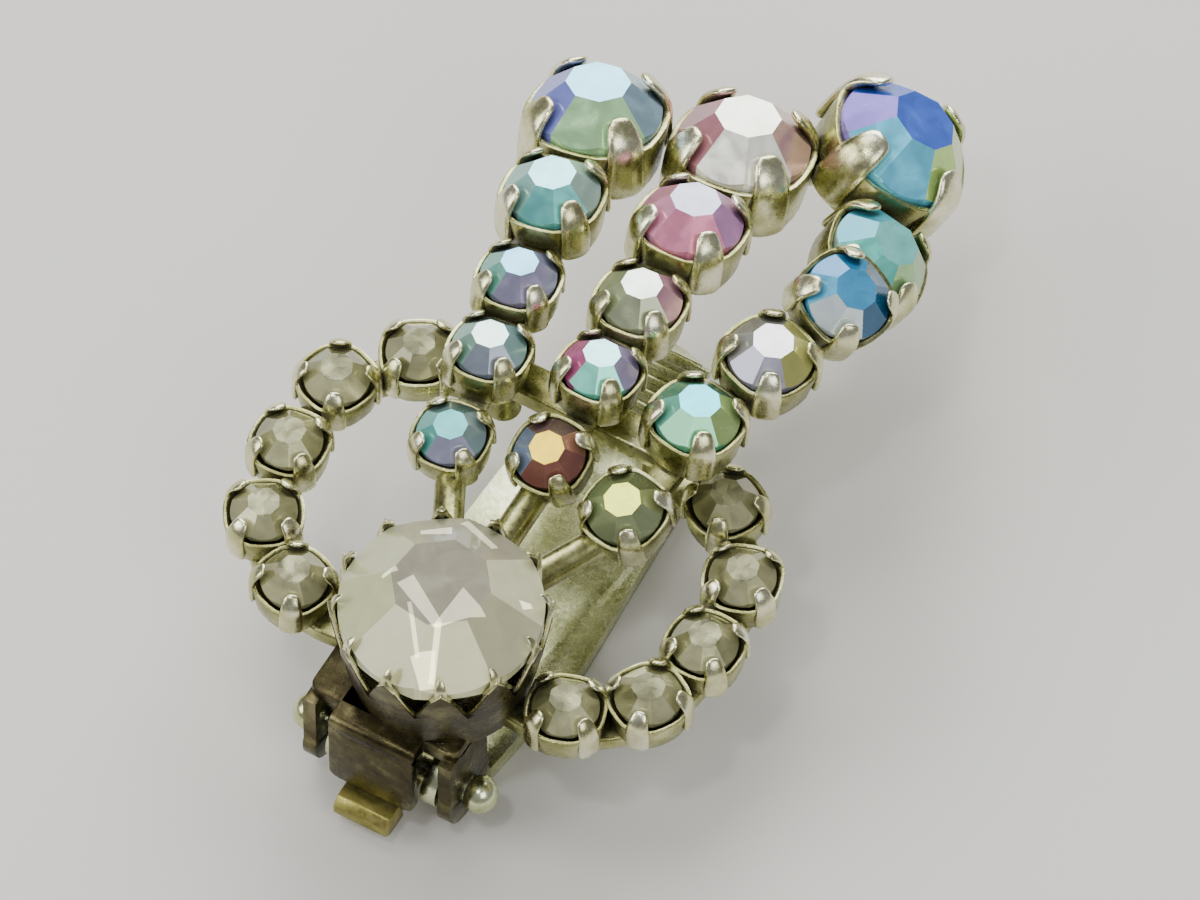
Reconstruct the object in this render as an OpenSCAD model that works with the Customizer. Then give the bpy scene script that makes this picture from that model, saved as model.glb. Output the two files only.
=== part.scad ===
// Clip-on earring. A large clear stone in a crown setting, two side loops of small stones
// and three fanning strands of graded stones, over a hinged clip. It rests on the closed clip's paddle.
// The main stone stands on the z axis while the pieces are drawn, with the clip a little to its left, and
// placed() then moves the whole so that the origin is the middle of the paddle's flat underside.
// +y runs along the strands.

/* [Large stone] */
// Diameter of the large stone
main_stone_d = 8.5; // [8:0.1:8.8]
// Height of its girdle above the resting surface
main_girdle_z = 10.8; // [10.4:0.1:11.2]
// Points round the edge of its crown setting
crown_points = 12; // [8:1:14]
// Height of its table above the girdle as a share of its diameter
main_crown_share = 0.22; // [0.18:0.01:0.23]

/* [Small stones] */
// Diameter of the stones in the side loops
loop_stone_d = 2.8; // [2.6:0.1:3]
// Table width as a share of the diameter
table_share = 0.5; // [0.45:0.01:0.55]
// Height above the girdle as a share of the diameter
crown_share = 0.28; // [0.22:0.01:0.3]
// Depth below the girdle as a share of the diameter
pavilion_share = 0.4; // [0.36:0.01:0.44]

/* [Side loops] */
// Distance of the left loop's middle from the centre line
left_loop_x = 5.3; // [5.1:0.1:5.5]
// Distance of the right loop's middle from the centre line
right_loop_x = 4.3; // [4.2:0.1:4.5]
// Distance of the loops' middle from the main stone, along the strands
loop_centre_y = 6; // [5.6:0.1:6.4]
// Straight stretch between the end arcs
loop_straight = 2.8; // [2.4:0.1:3.2]
// Turn of the left loop in plan, away from the strands
left_loop_turn = 6; // [4:1:8]
// Radius of the left loop's arcs, to the middle of its stones
left_loop_r = 5.2; // [5:0.1:5.4]
// Radius of the right loop's arcs
right_loop_r = 5; // [4.9:0.1:5.2]

/* [Wire and rods] */
// Radius of the rods that carry the strands
rod_r = 0.65; // [0.5:0.05:0.8]
// Width of the bar under each strand
spine_w = 1.2; // [1:0.1:1.4]

/* [Clip] */
// Place of the clip's middle, left of the main stone
clip_x = -0.8; // [-0.9:0.1:-0.6]
// Half the width of the paddle's pad at its widest
pad_half_w = 4.1; // [3.7:0.1:4.2]
// Thickness of the paddle's plate
paddle_t = 0.9; // [0.8:0.05:1]
// Height of the hinge pin above the resting surface
hinge_z = 2.4; // [2.3:0.1:2.5]
// Radius of the hinge pin
pin_r = 0.6; // [0.5:0.05:0.65]

/* [Hidden] */
// Strands: a row for each stone, counted away from the main stone. Heading is measured from +y towards
// +x, slope is the rise of the step from the stone before, pitch turns the face to the main stone,
// and lean turns it to +x.
//   diameter, step, heading, slope, pitch, lean
LEFT_STRAND = [
    [2.9, 0.00,  -6,   0,   4,   0],
    [3.1, 4.00,  -6,  17,  -8,   0],
    [3.2, 3.55, -10,   5,  -9,   0],
    [4.0, 4.10, -10,   8, -10,  -4],
    [5.5, 5.20,  -9, -12, -18,  -4]
];
MIDDLE_STRAND = [
    [3.0, 0.00,   1,   0,  16,   0],
    [3.2, 4.20,   1,  17, -10,   0],
    [3.5, 3.80,  -4,  -1,  -9,   0],
    [4.3, 4.40,  -1,   1, -16,   0],
    [5.6, 5.58,  -6, -17, -18,   0]
];
RIGHT_STRAND = [
    [3.2, 0.00,   9,   0,  10,   0],
    [3.6, 4.90,   9,  16,  -8,   2],
    [3.6, 4.10,  18,   6,  -6,   4],
    [3.7, 4.30,  18,  -1,  -6,  24],
    [4.4, 5.00, -10, -34, -10,  32],
    [6.0, 5.75, -20,   0, -12,  32]
];
LEFT_START = [-4.1, 7.8, 10.2];
MIDDLE_START = [0, 8.8, 10.5];
RIGHT_START = [3.9, 8.2, 10.2];
STRANDS = [LEFT_STRAND, MIDDLE_STRAND, RIGHT_STRAND];
STARTS = [LEFT_START, MIDDLE_START, RIGHT_START];
STRAND_NAMES = ["left_strand", "middle_strand", "right_strand"];

// Places of the loop stones along each loop, in millimetres from the loop's outermost point towards +y
LEFT_LOOP_AT = [-7.3, -3.7, 0, 3.7, 7.4];
RIGHT_LOOP_AT = [-7.6, -4.1, -0.6, 3.0, 6.8];
LOOP_SIDES = [-1, 1];
LOOP_NAMES = ["left_loop", "right_loop"];
LOOP_XS = [left_loop_x, right_loop_x];
LOOP_RADII = [left_loop_r, right_loop_r];
LOOP_TURNS = [left_loop_turn, 0];
LOOP_PLACES = [LEFT_LOOP_AT, RIGHT_LOOP_AT];

// Fit between stones and metal
stone_gap = 0.08;
cup_wall = 0.2;
cup_floor = 0.35;
girdle_share = 0.04;
wall_drop = 0.1;

// Heights of the metal above the resting surface
strip_low_z = 5.9;
strip_high_z = 6.7;
strip_w = 1.5;
strip_past = 1.9;
loop_base_z = 6.5;
plate_low_z = 5.5;
plate_high_z = 6.3;
crown_base_z = 6;
crown_floor_z = 7;
rod_start_z = 8.9;
rod_skip = 0.4;
spine_t = 0.8;
bar_y = 12.4;
bar_low_z = 8.1;
bar_high_z = 9.1;
bar_w = 1.6;
bar_ends_x = [-5.2, 4.6];
post_in = 1;
post_r = 0.75;

// Crown setting: radii of its tapered wall
crown_wall = 0.26;
crown_low_r = main_stone_d / 2 - 0.5;
crown_high_r = main_stone_d / 2 + 0.44;
crown_top_z = main_girdle_z + 0.45;
notch_low_z = 8.8;
notch_top_w = 2.3;
claw_w = 0.6;
claw_low_z = 10;
claw_gap = 0.1;
claw_t = 0.32;
claw_reach = 0.35;

// Prongs of the small cups, as shares of the stone's diameter
prong_gap = 0.1;
prong_t_share = 0.12;
prong_w_share = 0.16;
prong_reach_share = 0.13;
prong_rise_share = 0.16;

// Bracket of the clip
hinge_y = -2.5;
lug_in_x = 2.9;
lug_t = 0.6;
lug_r = 1.6;
lug_half_w = 1.5;
front_half_w = 2;
front_in_y = -4.05;
front_t = 0.5;
front_low_z = 2;
plate_front_y = -3.6;
plate_back_y = 1.9;
bore_r = pin_r + 0.05;
head_r = pin_r + 0.22;
head_x = 4.05;

// Paddle
ear_in_x = 1.9;
ear_t = 0.7;
ear_r = 1.3;
arm_y = -0.4;
arm_half_w = 3.3;
slot_half_w = 1.7;
slot_end_y = 5.5;
pad_wide_y = 6;
flat_end_y = 14;
curl_r = 5;
curl_angle = 50;
tip_l = 3;
tip_rib_count = 5;
tip_rib_r = 0.22;
tip_rib_half_l = 2.6;
pad_round_r = 3.6;
pad_round_y = 16.2;
rest_y = 9;
ear_leg_back_y = 3.4;

// Leaf spring, and the block at its front end
leaf_half_w = 1.25;
leaf_t = 0.35;
leaf_low_z = 1.1;
leaf_turn_y = -1.6;
leaf_end = [4.6, 4.3];
block_front_y = -5.5;
block_back_y = -4;
block_low_z = 0.6;
block_high_z = 1.8;
block_cut = 0.35;

fine = 48;
small = 24;

STONE_NAMES = concat(
    ["main_stone"],
    [for (s = [0:2]) for (i = [0:len(STRANDS[s]) - 1]) str(STRAND_NAMES[s], "_stone_", i + 1)],
    [for (s = [0:1]) for (i = [0:4]) str(LOOP_NAMES[s], "_stone_", i + 1)]
);

// Place of stone i of a strand: the step vectors of the rows up to it, added to the start
function step_of(row) = row[1] * [
    sin(row[2]) * cos(row[3]),
    cos(row[2]) * cos(row[3]),
    sin(row[3])
];
function strand_place(s, i) =
    i == 0 ? STARTS[s] : strand_place(s, i - 1) + step_of(STRANDS[s][i]);

// Direction that a face with this heading, pitch and lean looks in
function face_of(row) =
    let (
        h = row[2],
        x = cos(row[4]) * sin(row[5]),
        y = -sin(row[4])
    )
    [x * cos(h) + y * sin(h), -x * sin(h) + y * cos(h), cos(row[4]) * cos(row[5])];

function cup_depth(d) = pavilion_share * d + cup_floor;
function cup_half(d) = d / 2 + stone_gap + cup_wall;
function strand_base(s, i, lift = 0) =
    strand_place(s, i) - (cup_depth(STRANDS[s][i][0]) - lift) * face_of(STRANDS[s][i]);

// Place and heading on a loop, at a distance from its outermost point: the straight, then an end arc
function loop_point(r, at) =
    let (
        half = loop_straight / 2,
        past = max(abs(at) - half, 0),
        turn = past * 180 / (PI * r),
        way = at < 0 ? -1 : 1
    )
    [r * cos(turn), way * (min(abs(at), half) + r * sin(turn)), way * turn];
function loop_place(s, at) =
    let (p = loop_point(LOOP_RADII[s], at), x = LOOP_SIDES[s] * p[0], turn = LOOP_TURNS[s])
    [
        LOOP_SIDES[s] * LOOP_XS[s] + x * cos(turn) - p[1] * sin(turn),
        loop_centre_y + x * sin(turn) + p[1] * cos(turn),
        loop_base_z + cup_depth(loop_stone_d)
    ];
function loop_heading(s, at) = -LOOP_SIDES[s] * loop_point(LOOP_RADII[s], at)[2] - LOOP_TURNS[s];

module placed() {
    translate([-clip_x, -rest_y, 0]) children();
}

module in_clip() {
    translate([clip_x, 0, 0]) children();
}

// Puts a stone or its cup at a place, with its heading, pitch and lean
module seated(place, heading, pitch = 0, lean = 0) {
    translate(place) rotate([pitch, lean, -heading]) children();
}

module each_strand_cup() {
    for (s = [0:2]) for (i = [0:len(STRANDS[s]) - 1]) {
        row = STRANDS[s][i];
        $stone_d = row[0];
        seated(strand_place(s, i), row[2], row[4], row[5]) children();
    }
}

module each_loop_cup() {
    for (s = [0:1]) for (at = LOOP_PLACES[s]) {
        $stone_d = loop_stone_d;
        seated(loop_place(s, at), loop_heading(s, at)) children();
    }
}

// A straight round rod between two points
module rod(from, to, r) {
    way = to - from;
    translate(from)
        rotate([0, acos(way[2] / norm(way)), atan2(way[1], way[0])])
            cylinder(r = r, h = norm(way), $fn = small);
}

// Cut stone: a flat table, eight crown facets that run out on a round girdle, and a pointed back.
// Its girdle's upper edge is at the local origin's height.
module stone(d, crown = crown_share) {
    r = d / 2;
    table_r = r * table_share;
    crown_h = crown * d;
    girdle_h = girdle_share * d;
    corner_z = r * (1 - cos(22.5)) * crown_h / (r - table_r * cos(22.5));
    points = concat(
        [for (i = [0:7]) [table_r * cos(45 * i), table_r * sin(45 * i), crown_h]],
        [for (j = [0:15]) [r * cos(22.5 * j), r * sin(22.5 * j), j % 2 == 0 ? corner_z : 0]],
        [for (j = [0:15]) [r * cos(22.5 * j), r * sin(22.5 * j), -girdle_h]],
        [[0, 0, -pavilion_share * d]]
    );
    upper = 8;
    lower = 24;
    point = 40;
    faces = concat(
        [[for (i = [7:-1:0]) i]],
        [for (i = [0:7]) [
            i, (i + 1) % 8,
            upper + (2 * i + 2) % 16, upper + 2 * i + 1, upper + 2 * i
        ]],
        [for (j = [0:15]) [upper + j, upper + (j + 1) % 16, lower + (j + 1) % 16, lower + j]],
        [for (j = [0:15]) [lower + j, lower + (j + 1) % 16, point]]
    );
    polyhedron(points, faces, convexity = 2);
}

// Square cup with cut corners, up to just under the girdle
module cup(d) {
    half = cup_half(d);
    cut = 0.55 * half;
    base = -cup_depth(d);
    translate([0, 0, base])
        linear_extrude(-wall_drop * d - base)
            polygon([
                [half, cut - half], [half, half - cut], [half - cut, half], [cut - half, half],
                [-half, half - cut], [-half, cut - half], [cut - half, -half], [half - cut, -half]
            ]);
}

// Four prongs that stand at the cup's cut corners and bend in over the crown
module prongs(d) {
    inner = d / 2 + prong_gap;
    outer = inner + prong_t_share * d;
    foot = 0.15 - cup_depth(d);
    wide = prong_w_share * d;
    tip = inner - prong_reach_share * d;
    rise = prong_rise_share * d;
    for (a = [45:90:315])
        rotate([90, 0, a]) translate([0, 0, -wide / 2])
            linear_extrude(wide)
                polygon([
                    [inner, foot], [outer, foot], [outer, rise / 3],
                    [tip, rise + prong_t_share * d], [tip - 0.08, rise], [inner, prong_gap]
                ]);
}

// Hollow that the stone sits in
module cup_hollow(d) {
    translate([0, 0, -pavilion_share * d])
        cylinder(r = d / 2 + stone_gap, h = pavilion_share * d + 0.02, $fn = fine);
}

// A flat bar between two points, run on a little past both
module bar(from, to, w, t, past) {
    way = to - from;
    translate(from)
        rotate([atan2(way[2], norm([way[0], way[1]])), 0, -atan2(way[0], way[1])])
            translate([-w / 2, -past, -t / 2])
                cube([w, norm(way) + 2 * past, t]);
}

module strand_wires() {
    for (s = [0:2]) {
        from = [0, 0, rod_start_z];
        to = strand_base(s, 0, 0.1);
        rod(from + rod_skip * (to - from), to, rod_r);
        for (i = [0:len(STRANDS[s]) - 2])
            bar(strand_base(s, i), strand_base(s, i + 1), spine_w + 0.03 * i, spine_t - 0.02 * i, 0.4);
    }
}

// Outline of a loop as a rounded strip of this radius. The sides are a hair narrower than the ends.
module loop_outline(s, r) {
    half = loop_straight / 2;
    translate([LOOP_SIDES[s] * LOOP_XS[s], loop_centre_y]) rotate(LOOP_TURNS[s]) {
        for (y = [-half, half]) translate([0, y]) circle(r = r, $fn = fine);
        square([2 * r - 0.04, loop_straight], center = true);
    }
}

// Backing strip under each loop's cups, from the crown setting round to the cross bar
module loop_strips() {
    for (s = [0:1]) {
        from_x = LOOP_XS[s] - strip_past;
        reach = LOOP_RADII[s] + strip_past + strip_w;
        translate([0, 0, strip_low_z])
            linear_extrude(strip_high_z - strip_low_z)
                intersection() {
                    difference() {
                        loop_outline(s, LOOP_RADII[s] + strip_w / 2);
                        loop_outline(s, LOOP_RADII[s] - strip_w / 2);
                    }
                    translate([LOOP_SIDES[s] * (from_x + reach / 2), loop_centre_y])
                        square([reach, 2 * reach], center = true);
                }
    }
}

module cross_bar() {
    translate([bar_ends_x[0], bar_y - bar_w / 2, bar_low_z])
        cube([bar_ends_x[1] - bar_ends_x[0], bar_w, bar_high_z - bar_low_z]);
    for (s = [0:1])
        translate([LOOP_SIDES[s] * (LOOP_XS[s] - post_in), bar_y, strip_low_z + 0.1])
            cylinder(r = post_r, h = bar_low_z + 0.5 - strip_low_z, $fn = small);
}

// Tall tapered cup with a zig-zag edge
module crown_cup() {
    h = crown_top_z - crown_base_z;
    difference() {
        translate([0, 0, crown_base_z])
            cylinder(r1 = crown_low_r, r2 = crown_high_r, h = h, $fn = fine);
        for (i = [0:crown_points - 1])
            rotate([90, 0, 360 * (i + 0.5) / crown_points])
                rotate([0, 90, 0]) linear_extrude(2 * main_stone_d)
                    polygon([
                        [0, notch_low_z],
                        [notch_top_w / 2 + 0.2, crown_top_z + 0.4],
                        [-notch_top_w / 2 - 0.2, crown_top_z + 0.4]
                    ]);
    }
}

module crown_hollow() {
    slope = (crown_high_r - crown_low_r) / (crown_top_z - crown_base_z);
    low_r = crown_low_r + slope * (crown_floor_z - crown_base_z) - crown_wall;
    h = crown_top_z + 1 - crown_floor_z;
    translate([0, 0, crown_floor_z])
        cylinder(r1 = low_r, r2 = low_r + slope * h, h = h, $fn = fine);
}

// Small claws at the crown's points, bent in over the stone's edge
module crown_claws() {
    inner = main_stone_d / 2 + claw_gap;
    tip = main_stone_d / 2 - claw_reach;
    for (i = [0:crown_points - 1])
        rotate([90, 0, 360 * i / crown_points]) translate([0, 0, -claw_w / 2])
            linear_extrude(claw_w)
                polygon([
                    [inner, claw_low_z], [inner + claw_t, claw_low_z],
                    [inner + claw_t, main_girdle_z + claw_gap + 0.2],
                    [tip + 0.1, main_girdle_z + 0.88], [tip, main_girdle_z + 0.66],
                    [inner, main_girdle_z + claw_t]
                ]);
}

// Plate under the crown setting, with a lug down each side for the pin and a narrow plate in front
module bracket() {
    outer_x = lug_in_x + lug_t;
    lug_top = plate_low_z + 0.3;
    translate([-outer_x, plate_front_y, plate_low_z])
        cube([2 * outer_x, plate_back_y - plate_front_y, plate_high_z - plate_low_z]);
    translate([-front_half_w, front_in_y - front_t, plate_low_z])
        cube([2 * front_half_w, plate_front_y + 1 - front_in_y + front_t, plate_high_z - plate_low_z]);
    translate([-front_half_w, front_in_y - front_t, front_low_z])
        cube([2 * front_half_w, front_t, plate_high_z - 0.2 - front_low_z]);
    for (side = LOOP_SIDES)
        translate([side * (lug_in_x + lug_t / 2) - lug_t / 2, hinge_y, hinge_z])
            rotate([90, 0, 90]) linear_extrude(lug_t)
                difference() {
                    union() {
                        circle(r = lug_r, $fn = fine);
                        polygon([
                            [-lug_half_w, 0], [lug_half_w, 0],
                            [lug_half_w, lug_top - hinge_z], [plate_front_y - hinge_y + 0.1, lug_top - hinge_z]
                        ]);
                    }
                    circle(r = bore_r, $fn = fine);
                }
}

module setting_frame() {
    color("darkkhaki") placed() {
        difference() {
            union() {
                in_clip() bracket();
                crown_cup();
                loop_strips();
                cross_bar();
                strand_wires();
                each_strand_cup() cup($stone_d);
                each_loop_cup() cup($stone_d);
            }
            crown_hollow();
            each_strand_cup() cup_hollow($stone_d);
            each_loop_cup() cup_hollow($stone_d);
        }
        crown_claws();
        each_strand_cup() prongs($stone_d);
        each_loop_cup() prongs($stone_d);
    }
}

// Side outline of the paddle: flat, then curled up to a straight tip
module paddle_side() {
    translate([arm_y, 0]) square([flat_end_y - arm_y, paddle_t]);
    translate([flat_end_y, curl_r]) intersection() {
        difference() {
            circle(r = curl_r, $fn = fine);
            circle(r = curl_r - paddle_t, $fn = fine);
        }
        polygon([
            [0, 0], [0, -2 * curl_r],
            2 * curl_r * [sin(curl_angle), -1.2],
            2 * curl_r * [sin(curl_angle), -cos(curl_angle)]
        ]);
    }
    translate([flat_end_y, curl_r]) rotate(curl_angle) translate([0, -curl_r]) square([tip_l, paddle_t]);
}

module paddle_plan() {
    difference() {
        union() {
            polygon([
                [-arm_half_w, arm_y], [arm_half_w, arm_y], [pad_half_w, pad_wide_y],
                [pad_round_r - 0.02, pad_round_y], [0.02 - pad_round_r, pad_round_y], [-pad_half_w, pad_wide_y]
            ]);
            translate([0, pad_round_y]) circle(r = pad_round_r, $fn = fine);
        }
        translate([-slot_half_w, arm_y - 1]) square([2 * slot_half_w, slot_end_y - arm_y + 1]);
    }
}

// Ears of the paddle: an eye round the pin and a leg down to the plate
module paddle_ears() {
    for (side = LOOP_SIDES)
        translate([side * (ear_in_x + ear_t / 2) - ear_t / 2, hinge_y, hinge_z])
            rotate([90, 0, 90]) linear_extrude(ear_t)
                difference() {
                    union() {
                        circle(r = ear_r, $fn = fine);
                        polygon([
                            [-0.8, -0.9], [0.6, -hinge_z], [ear_leg_back_y, -hinge_z],
                            [ear_leg_back_y, 0.5 - hinge_z], [1, 0.3]
                        ]);
                    }
                    circle(r = bore_r, $fn = fine);
                }
}

module tip_ribs() {
    for (i = [1:tip_rib_count])
        translate([0, flat_end_y, curl_r]) rotate([curl_angle, 0, 0])
            translate([-tip_rib_half_l, (i - 0.6) * 0.62, paddle_t - curl_r])
                rotate([0, 90, 0]) cylinder(r = tip_rib_r, h = 2 * tip_rib_half_l, $fn = small);
}

module clip_paddle() {
    color("tan") placed() in_clip() {
        intersection() {
            translate([-10, 0, 0]) rotate([90, 0, 90]) linear_extrude(20) paddle_side();
            translate([0, 0, -1]) linear_extrude(10) paddle_plan();
        }
        paddle_ears();
        tip_ribs();
    }
}

module hinge_pin() {
    color("silver") placed() in_clip() translate([0, hinge_y, hinge_z]) {
        translate([-head_x, 0, 0]) rotate([0, 90, 0]) cylinder(r = pin_r, h = 2 * head_x, $fn = small);
        for (side = LOOP_SIDES) translate([side * head_x, 0, 0]) sphere(r = head_r, $fn = small);
    }
}

// Brass leaf between the paddle's arms: a block under the front plate, then a tongue that rises behind
module clip_spring() {
    color("goldenrod") placed() in_clip() translate([-leaf_half_w, 0, 0])
        rotate([90, 0, 90]) linear_extrude(2 * leaf_half_w) polygon([
            [block_front_y, block_low_z + block_cut], [block_front_y + block_cut, block_low_z],
            [block_back_y, block_low_z],
            [block_back_y, leaf_low_z], [leaf_turn_y, leaf_low_z],
            leaf_end, leaf_end + [-0.1, leaf_t],
            [leaf_turn_y - 0.15, leaf_low_z + leaf_t], [block_back_y, leaf_low_z + leaf_t],
            [block_back_y, block_high_z], [block_front_y + block_cut, block_high_z],
            [block_front_y, block_high_z - block_cut]
        ]);
}

module main_stone() {
    color("whitesmoke") placed() translate([0, 0, main_girdle_z]) rotate(15) stone(main_stone_d, main_crown_share);
}

module strand_stone(s, i) {
    row = STRANDS[s][i];
    color("powderblue") placed()
        seated(strand_place(s, i), row[2], row[4], row[5]) rotate(22.5) stone(row[0]);
}

module loop_stone(s, i) {
    at = LOOP_PLACES[s][i];
    color("lightgray") placed()
        seated(loop_place(s, at), loop_heading(s, at)) rotate(22.5) stone(loop_stone_d);
}

setting_frame();
clip_paddle();
hinge_pin();
clip_spring();
main_stone();
for (s = [0:2]) for (i = [0:len(STRANDS[s]) - 1])
    strand_stone(s, i);
for (s = [0:1]) for (i = [0:4])
    loop_stone(s, i);
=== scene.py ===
# %% [markdown]
# # Clip-on earring
# This lesson dresses the imported model of a clip-on earring: a large clear stone in a crown setting, two side
# loops of small dull stones and three fanning strands of graded, aurora-coated stones over a hinged clip.
# The imported model is loaded first and never moved. The stones, cups, rods and bars are placed by measuring it,
# and the other new pieces at given places.

import math

import bpy
from mathutils import Matrix, Vector


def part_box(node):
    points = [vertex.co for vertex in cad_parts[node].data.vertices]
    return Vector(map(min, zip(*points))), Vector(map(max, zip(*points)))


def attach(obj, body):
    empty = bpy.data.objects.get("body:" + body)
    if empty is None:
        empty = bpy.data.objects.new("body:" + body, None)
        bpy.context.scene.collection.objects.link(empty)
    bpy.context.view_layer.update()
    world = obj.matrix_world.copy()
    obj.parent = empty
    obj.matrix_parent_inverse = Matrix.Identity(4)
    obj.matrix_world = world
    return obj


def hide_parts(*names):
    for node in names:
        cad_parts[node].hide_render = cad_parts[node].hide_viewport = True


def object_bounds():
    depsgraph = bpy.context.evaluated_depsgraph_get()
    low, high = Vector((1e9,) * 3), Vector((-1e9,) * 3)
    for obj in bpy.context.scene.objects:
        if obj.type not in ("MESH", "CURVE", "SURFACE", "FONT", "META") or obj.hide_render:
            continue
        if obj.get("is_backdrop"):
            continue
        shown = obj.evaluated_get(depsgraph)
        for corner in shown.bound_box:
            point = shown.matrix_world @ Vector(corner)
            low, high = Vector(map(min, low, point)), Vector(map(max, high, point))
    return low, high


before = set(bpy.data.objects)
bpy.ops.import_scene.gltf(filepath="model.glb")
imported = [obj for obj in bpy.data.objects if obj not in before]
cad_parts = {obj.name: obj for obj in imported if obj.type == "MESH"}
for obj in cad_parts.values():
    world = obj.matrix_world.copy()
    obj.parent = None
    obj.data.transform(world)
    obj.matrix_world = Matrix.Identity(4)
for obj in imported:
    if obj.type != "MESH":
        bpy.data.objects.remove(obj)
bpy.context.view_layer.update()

# %% [markdown]
# An earring is small, and Blender's tools merge points closer than a tenth of a millimetre. So each piece is
# drawn on a bench where one unit is a millimetre, and taken down to metres when it is set in its place.
# The helpers below do what a hand does: clear the bench, pick faces or edges by where they are, and put down.

# %% Bench helpers
MM = 0.001
VIEW_AZIMUTH, VIEW_ELEVATION = 30, 57  # where the photograph was taken from, in degrees
SMOOTH_ANGLE = math.radians(40)  # edges that turn more than this stay crisp


def clear_bench():
    if bpy.context.mode != "OBJECT":
        bpy.ops.object.mode_set(mode="OBJECT")
    bpy.ops.object.select_all(action="DESELECT")


def take_up(piece):
    """Selects one piece alone."""
    clear_bench()
    piece.select_set(True)
    bpy.context.view_layer.objects.active = piece


def take_away(model):
    bpy.data.objects.remove(model, do_unlink=True)


def put_down():
    """Leaves edit mode."""
    bpy.ops.object.mode_set(mode="OBJECT")


def pick(kind, test):
    """Goes to edit mode with those faces or edges selected whose middle and direction pass the test."""
    mesh = bpy.context.object.data
    bpy.ops.object.mode_set(mode="EDIT")
    bpy.ops.mesh.select_mode(type=kind)
    bpy.ops.mesh.select_all(action="DESELECT")
    put_down()
    for part in mesh.polygons if kind == "FACE" else mesh.edges:
        if kind == "FACE":
            middle, way = part.center, part.normal
        else:
            a, b = (mesh.vertices[v].co for v in part.vertices)
            middle, way = (a + b) / 2, (b - a).normalized()
        part.select = bool(test(middle, way))
    bpy.ops.object.mode_set(mode="EDIT")
    bpy.ops.mesh.select_mode(type=kind)


def close_up():
    """Turns all faces outwards and leaves edit mode."""
    bpy.ops.mesh.select_all(action="SELECT")
    bpy.ops.mesh.normals_make_consistent(inside=False)
    put_down()


def pull(x=0, y=0, z=0, grow=None):
    """Extrudes what is selected, moves it, and may scale it."""
    bpy.ops.mesh.extrude_region_move(TRANSFORM_OT_translate={"value": (x, y, z)})
    if grow:
        bpy.ops.transform.resize(value=grow)


def turn(degrees, axis, centre):
    """Turns what is selected. Without a window the operator turns the other way, so the sign is changed."""
    bpy.ops.transform.rotate(value=-math.radians(degrees), orient_axis=axis, center_override=centre)


def finish_with(kind, **settings):
    piece = bpy.context.object
    step = piece.modifiers.new(kind.title(), kind)
    for name, value in settings.items():
        setattr(step, name, value)
    bpy.ops.object.modifier_apply(modifier=step.name)


def own_copy(model):
    """A copy with its own mesh."""
    copy = model.copy()
    copy.data = model.data.copy()
    bpy.context.collection.objects.link(copy)
    return copy


def bench_copy(model, name, place):
    """A copy of a bench model, set at a place given in millimetres."""
    copy = own_copy(model)
    copy.name = copy.data.name = name
    copy.data.transform(Matrix.Scale(MM, 4) @ place)
    return copy


def set_once(model, name, place=Matrix.Identity(4)):
    """Sets a bench model that is used only once at its place."""
    piece = bench_copy(model, name, place)
    take_away(model)
    return piece


def round_copies(model, angles):
    """Copies of a bench model turned about the upright axis."""
    copies = [own_copy(model) for _ in angles]
    for copy, angle in zip(copies, angles):
        copy.data.transform(Matrix.Rotation(math.radians(angle), 4, "Z"))
    return copies


def join(pieces, name):
    clear_bench()
    for piece in pieces:
        piece.select_set(True)
    bpy.context.view_layer.objects.active = pieces[0]
    if len(pieces) > 1:
        bpy.ops.object.join()
    whole = bpy.context.object
    whole.name = whole.data.name = name
    return whole


def block(low, high):
    """A box between two corners."""
    low, high = Vector(low), Vector(high)
    clear_bench()
    bpy.ops.mesh.primitive_cube_add(size=1, location=(low + high) / 2, scale=high - low)
    bpy.ops.object.transform_apply(location=True, rotation=False, scale=True)
    return bpy.context.object


def round_over(piece, width, segments=2, angle=30):
    """Takes the sharpness off a piece's edges, as plating and wear do, and smooths the rest."""
    take_up(piece)
    finish_with("BEVEL", width=width, segments=segments, limit_method="ANGLE", angle_limit=math.radians(angle))
    bpy.ops.object.shade_smooth_by_angle(angle=SMOOTH_ANGLE)
    return piece


# %% [markdown]
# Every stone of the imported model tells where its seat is. The table is the largest flat of a cut stone, so the
# table's normal gives the way the stone looks, its middle gives the axis, and the girdle gives the diameter.
# The cups and the finer stones are then set by that measured seat, and nothing has to be fitted by eye.

# %% Measure the seats of the stones
# shares of a stone's diameter: the table's width, the back's and the girdle's depth, and the crown's height
TABLE_SHARE, PAVILION_SHARE, GIRDLE_SHARE = 0.5, 0.4, 0.04
CROWN_SHARE, MAIN_CROWN_SHARE = 0.28, 0.22
FACETS = 8
FACET_TURN = 360 / FACETS
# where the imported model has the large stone's axis and the loops, in millimetres and degrees
SETTING_AXIS = Vector((0.8, -9, 0))
LOOP_CENTRES = {"left": Vector((-4.5, -3, 0)), "right": Vector((5.1, -3, 0))}
LOOP_RADIUS = {"left": 5.2, "right": 5.0}
LOOP_TURN = {"left": 6, "right": 0}
LOOP_STRAIGHT = 2.8
LOOP_STONES = 5


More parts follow.
